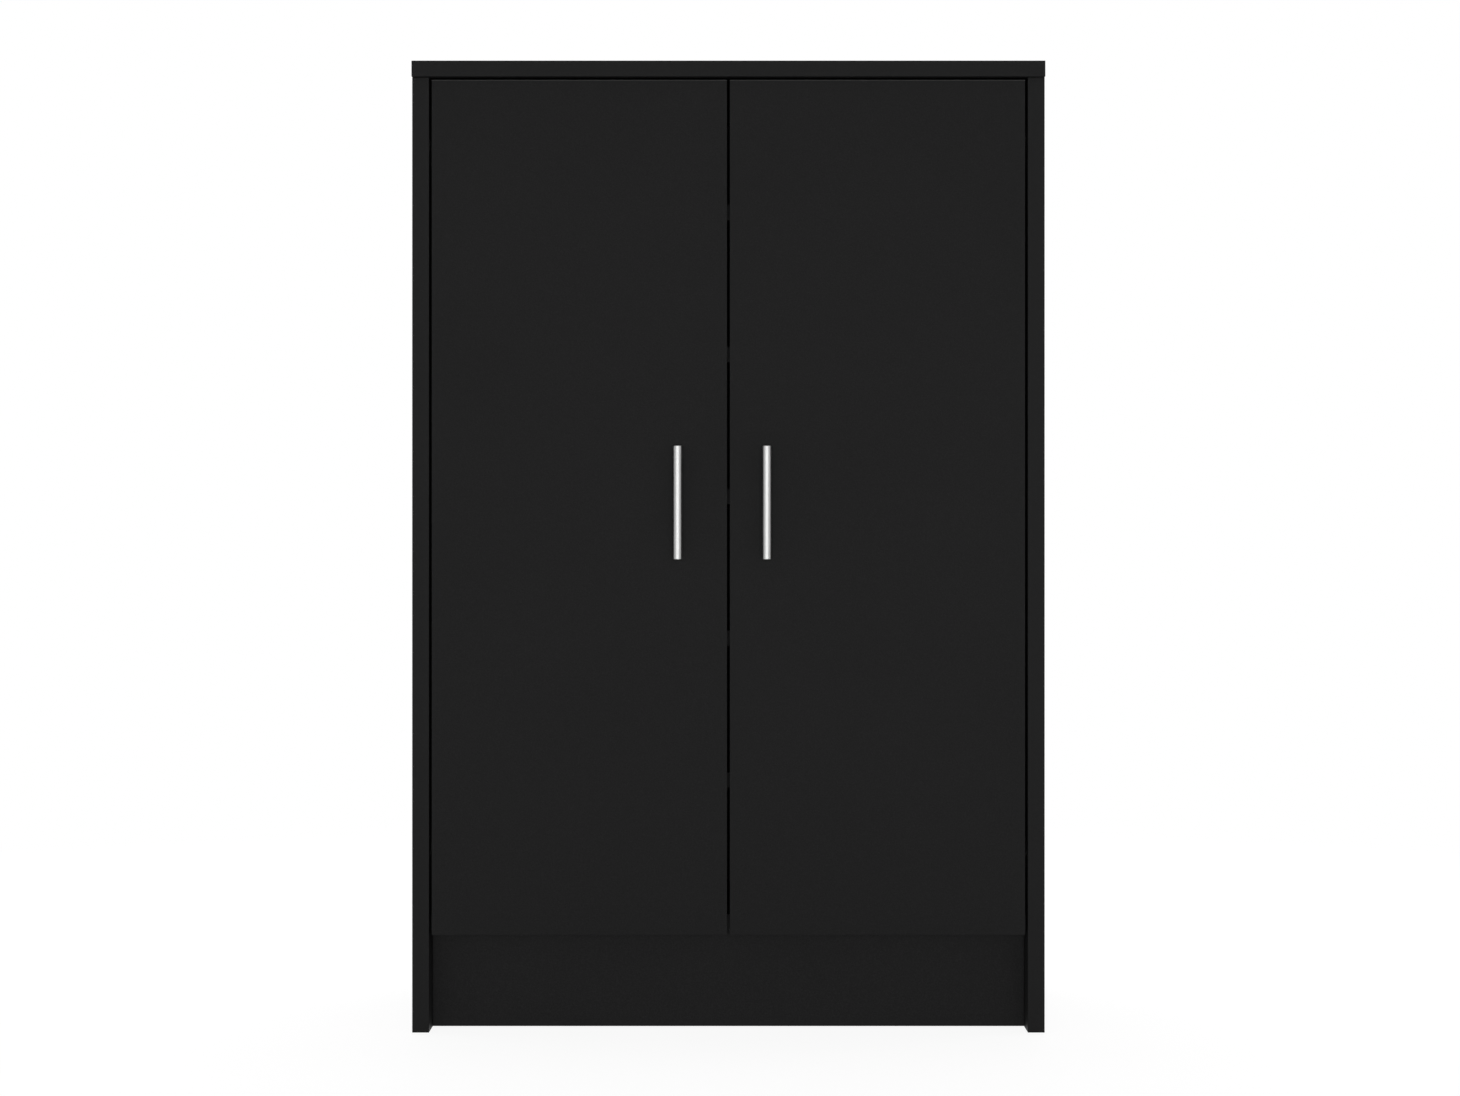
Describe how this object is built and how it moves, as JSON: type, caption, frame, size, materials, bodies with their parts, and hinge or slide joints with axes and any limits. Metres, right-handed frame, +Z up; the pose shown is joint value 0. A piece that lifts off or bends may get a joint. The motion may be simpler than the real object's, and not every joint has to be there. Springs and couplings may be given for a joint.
{
  "type": "shoe cabinet",
  "caption": "Free-standing shoe cabinet in matte black board, with shelves behind two inset doors on concealed hinges and round bar handles.",
  "frame": {"origin": "on the floor, under the middle of the cabinet measured with its handles", "axes": "+Z up, +X to the right seen from the front, +Y to the back; the doors face -Y"},
  "size_m": [0.6, 0.37, 0.921],
  "materials": {
    "black_board": "matte black melamine foil on 15 and 16 mm chipboard",
    "hardboard": "3 mm hardboard, black inside and raw outside",
    "satin_nickel": "satin nickel",
    "hinge_steel": "nickel-plated pressed steel",
    "zinc_fastener": "zinc-plated steel"
  },
  "bodies": {
    "carcase": {"side_panel_left": "black_board", "side_panel_right": "black_board", "top_panel": "black_board", "bottom_panel": "black_board", "plinth": "black_board", "back_panel": "hardboard", "shelf_1": "black_board", "shelf_2": "black_board", "shelf_3": "black_board", "shelf_4": "black_board", "shelf_5": "black_board", "shelf_pin_1_left_front": "zinc_fastener", "shelf_pin_1_left_back": "zinc_fastener", "shelf_pin_1_right_front": "zinc_fastener", "shelf_pin_1_right_back": "zinc_fastener", "shelf_pin_2_left_front": "zinc_fastener", "shelf_pin_2_left_back": "zinc_fastener", "shelf_pin_2_right_front": "zinc_fastener", "shelf_pin_2_right_back": "zinc_fastener", "shelf_pin_3_left_front": "zinc_fastener", "shelf_pin_3_left_back": "zinc_fastener", "shelf_pin_3_right_front": "zinc_fastener", "shelf_pin_3_right_back": "zinc_fastener", "shelf_pin_4_left_front": "zinc_fastener", "shelf_pin_4_left_back": "zinc_fastener", "shelf_pin_4_right_front": "zinc_fastener", "shelf_pin_4_right_back": "zinc_fastener", "shelf_pin_5_left_front": "zinc_fastener", "shelf_pin_5_left_back": "zinc_fastener", "shelf_pin_5_right_front": "zinc_fastener", "shelf_pin_5_right_back": "zinc_fastener", "hinge_arm_left_lower": "hinge_steel", "hinge_arm_left_upper": "hinge_steel", "hinge_arm_right_lower": "hinge_steel", "hinge_arm_right_upper": "hinge_steel", "hinge_plate_left_lower": "hinge_steel", "hinge_plate_left_upper": "hinge_steel", "hinge_plate_right_lower": "hinge_steel", "hinge_plate_right_upper": "hinge_steel"},
    "left_door": {"door_left": "black_board", "handle_bar_left": "satin_nickel", "handle_post_left_lower": "satin_nickel", "handle_post_left_upper": "satin_nickel", "handle_screw_left_lower": "zinc_fastener", "handle_screw_left_upper": "zinc_fastener", "hinge_cup_left_lower": "hinge_steel", "hinge_cup_left_upper": "hinge_steel", "hinge_pin_left_lower": "hinge_steel", "hinge_pin_left_upper": "hinge_steel"},
    "right_door": {"door_right": "black_board", "handle_bar_right": "satin_nickel", "handle_post_right_lower": "satin_nickel", "handle_post_right_upper": "satin_nickel", "handle_screw_right_lower": "zinc_fastener", "handle_screw_right_upper": "zinc_fastener", "hinge_cup_right_lower": "hinge_steel", "hinge_cup_right_upper": "hinge_steel", "hinge_pin_right_lower": "hinge_steel", "hinge_pin_right_upper": "hinge_steel"}
  },
  "joints": [
    {"name": "left_door_hinge", "type": "hinge", "parent": "carcase", "child": "left_door", "pos_m": [-0.271, -0.15125, 0.498], "axis": [0, 0, -1], "range_deg": [0, 100]},
    {"name": "right_door_hinge", "type": "hinge", "parent": "carcase", "child": "right_door", "pos_m": [0.271, -0.15125, 0.498], "axis": [0, 0, 1], "range_deg": [0, 100]}
  ]
}
